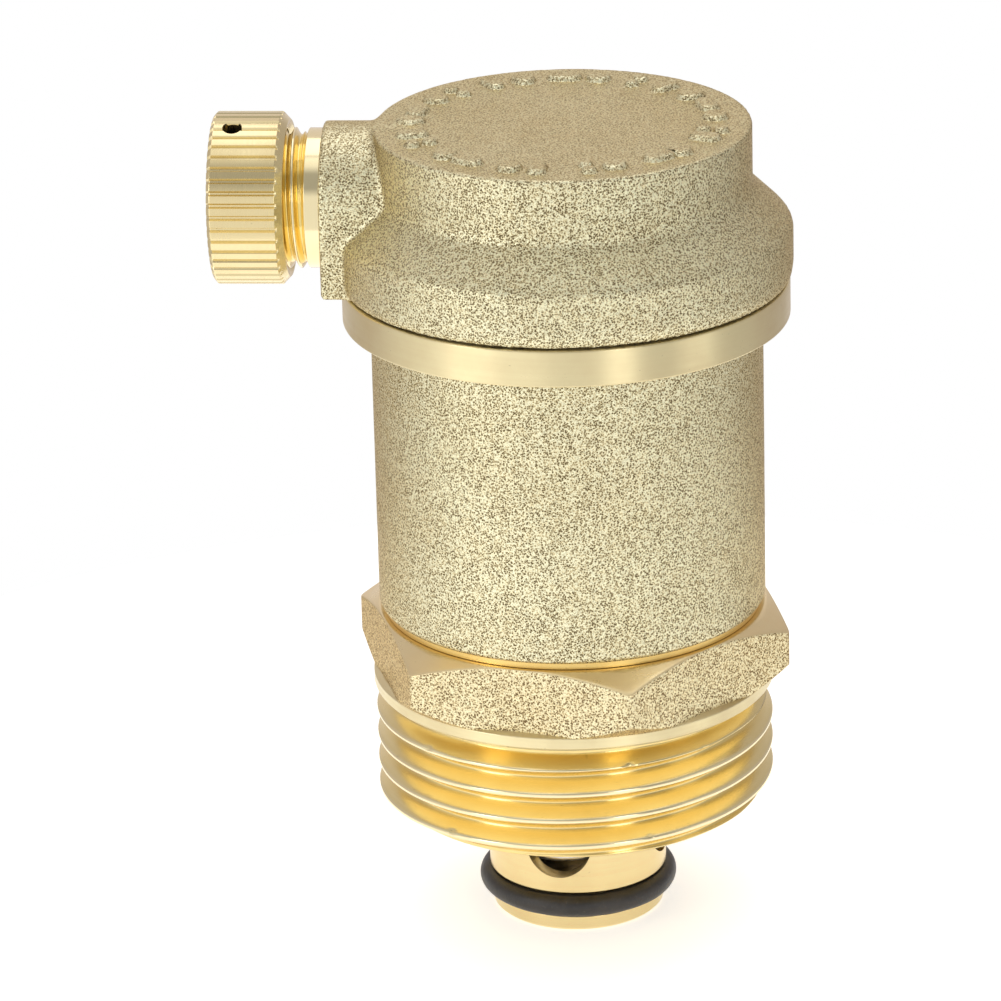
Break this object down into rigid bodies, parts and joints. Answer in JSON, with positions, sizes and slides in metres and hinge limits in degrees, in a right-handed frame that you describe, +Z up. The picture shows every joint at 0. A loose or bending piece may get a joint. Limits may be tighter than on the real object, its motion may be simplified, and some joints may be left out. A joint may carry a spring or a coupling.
{
  "type": "automatic air vent",
  "caption": "Float-type automatic air vent: round brass chamber, side outlet with knurled cap, hexagon, male pipe thread and a spring-loaded check spool with an O-ring.",
  "frame": {"origin": "centre of the lower end face of the pipe thread, on the vertical axis", "axes": "+Z up along the vertical axis towards the bonnet; the side outlet and its cap point along -X"},
  "size_m": [0.0471, 0.0372, 0.0695],
  "materials": {
    "cast_brass": "shot-blasted casting",
    "turned_brass": "turned, bright",
    "cap_brass": "knurled, satin",
    "spool_brass": "turned, satin",
    "stainless_steel": "satin",
    "spring_steel": "bright wire",
    "copper_washer": "soft copper",
    "black_rubber": "matte",
    "fibre": "pressed fibre",
    "float_plastic": "moulded polypropylene"
  },
  "bodies": {
    "housing": {"base": "turned_brass", "tail_gasket": "fibre", "body": "cast_brass", "bonnet": "cast_brass", "bonnet_o_ring": "black_rubber", "vent_nozzle": "turned_brass", "nozzle_washer": "copper_washer", "lever_bracket": "stainless_steel", "bracket_screw_1": "stainless_steel", "bracket_screw_2": "stainless_steel", "lever_pivot_pin": "stainless_steel", "spool_spring": "spring_steel"},
    "spool": {"spool": "spool_brass", "spool_o_ring": "black_rubber"},
    "cap_seal": {"cap_seal_pad": "black_rubber"},
    "cap": {"vent_cap": "cap_brass"},
    "float": {"float": "float_plastic", "float_stem": "stainless_steel"},
    "lever": {"lever": "stainless_steel", "seat_pad": "black_rubber"}
  },
  "joints": [
    {"name": "spool_lift", "type": "slide", "parent": "housing", "child": "spool", "axis": [0, 0, 1], "range_m": [0, 0.0081], "stiffness_N_per_m": 120, "springref_m": -0.006, "deforming": ["spool_spring"]},
    {"name": "cap_travel", "type": "slide", "parent": "housing", "child": "cap_seal", "axis": [-1, 0, 0], "range_m": [-0.001, 0.00138]},
    {"name": "cap_turn", "type": "hinge", "parent": "cap_seal", "child": "cap", "pos_m": [-0.0254, 0, 0.05205], "axis": [-1, 0, 0], "range_deg": [-360, 500]},
    {"name": "float_rise", "type": "slide", "parent": "housing", "child": "float", "axis": [0, 0, 1], "range_m": [0, 0.0021]},
    {"name": "lever_tilt", "type": "hinge", "parent": "housing", "child": "lever", "pos_m": [-0.007, 0, 0.05005], "axis": [0, -1, 0], "range_deg": [0, 17.05]}
  ],
  "couplings": [
    {"joint": "cap_turn", "follows": "cap_travel", "rad_per_m": 6283.2},
    {"joint": "lever_tilt", "follows": "float_rise", "rad_per_m": 141.3}
  ]
}
